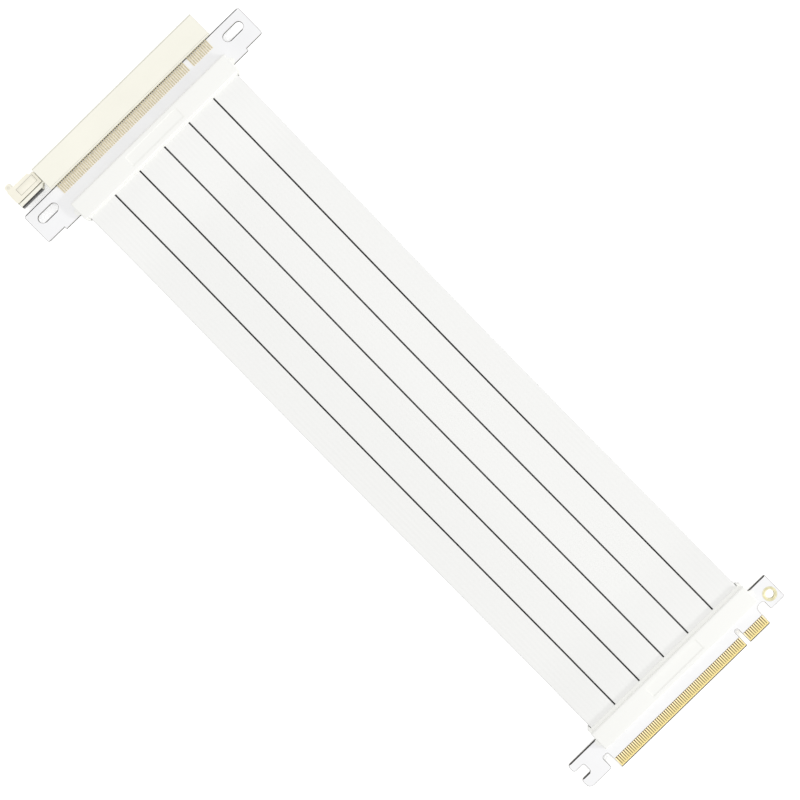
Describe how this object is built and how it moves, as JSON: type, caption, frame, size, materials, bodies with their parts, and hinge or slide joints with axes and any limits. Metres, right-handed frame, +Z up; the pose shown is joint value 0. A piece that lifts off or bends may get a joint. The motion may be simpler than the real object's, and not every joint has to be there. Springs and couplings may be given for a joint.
{
  "type": "gpu riser cable",
  "caption": "Flat ribbon riser cable with an edge-mount x16 card slot and latch on one board, gold finger plug board on the other, and moulded strain reliefs.",
  "frame": {"origin": "under the middle of the object's outline, on the surface that it rests on", "axes": "+X from the slot to the plug, +Y to the side of the key, +Z up from the resting surface"},
  "size_m": [0.343, 0.1206, 0.0074],
  "materials": {
    "housing": "satin ivory moulded plastic",
    "latch": "satin cream moulded plastic",
    "pin_steel": "plain steel",
    "contacts": "pale plated contact metal",
    "board": "white solder mask",
    "overmould": "fine matt white moulding",
    "ribbon": "smooth white ribbon jacket",
    "wire_copper": "bare copper wire ends",
    "gold_plate": "gold plating"
  },
  "bodies": {
    "riser": {"slot_housing": "housing", "latch_pin": "pin_steel", "socket_board": "board", "socket_overmould": "overmould", "plug_overmould": "overmould", "plug_board": "board", "plug_hole_ring": "gold_plate", "upper_slot_contacts": "contacts", "upper_short_fingers": "gold_plate", "upper_long_fingers": "gold_plate", "lower_slot_contacts": "contacts", "lower_short_fingers": "gold_plate", "lower_long_fingers": "gold_plate", "upper_ribbon_1": "ribbon", "upper_ribbon_2": "ribbon", "upper_ribbon_3": "ribbon", "upper_ribbon_4": "ribbon", "upper_ribbon_5": "ribbon", "upper_ribbon_6": "ribbon", "lower_ribbon_1": "ribbon", "lower_ribbon_2": "ribbon", "lower_ribbon_3": "ribbon", "lower_ribbon_4": "ribbon", "lower_ribbon_5": "ribbon", "lower_ribbon_6": "ribbon", "upper_socket_wires_1": "wire_copper", "upper_plug_wires_1": "wire_copper", "upper_socket_wires_2": "wire_copper", "upper_plug_wires_2": "wire_copper", "upper_socket_wires_3": "wire_copper", "upper_plug_wires_3": "wire_copper", "upper_socket_wires_4": "wire_copper", "upper_plug_wires_4": "wire_copper", "upper_socket_wires_5": "wire_copper", "upper_plug_wires_5": "wire_copper", "upper_socket_wires_6": "wire_copper", "upper_plug_wires_6": "wire_copper", "lower_socket_wires_1": "wire_copper", "lower_plug_wires_1": "wire_copper", "lower_socket_wires_2": "wire_copper", "lower_plug_wires_2": "wire_copper", "lower_socket_wires_3": "wire_copper", "lower_plug_wires_3": "wire_copper", "lower_socket_wires_4": "wire_copper", "lower_plug_wires_4": "wire_copper", "lower_socket_wires_5": "wire_copper", "lower_plug_wires_5": "wire_copper", "lower_socket_wires_6": "wire_copper", "lower_plug_wires_6": "wire_copper"},
    "latch": {"slot_latch": "latch"}
  },
  "joints": [
    {"name": "latch_hinge", "type": "hinge", "parent": "riser", "child": "latch", "pos_m": [-0.1638, -0.05715, 0.0037], "axis": [0, 0, 1], "range_deg": [0, 25]}
  ]
}
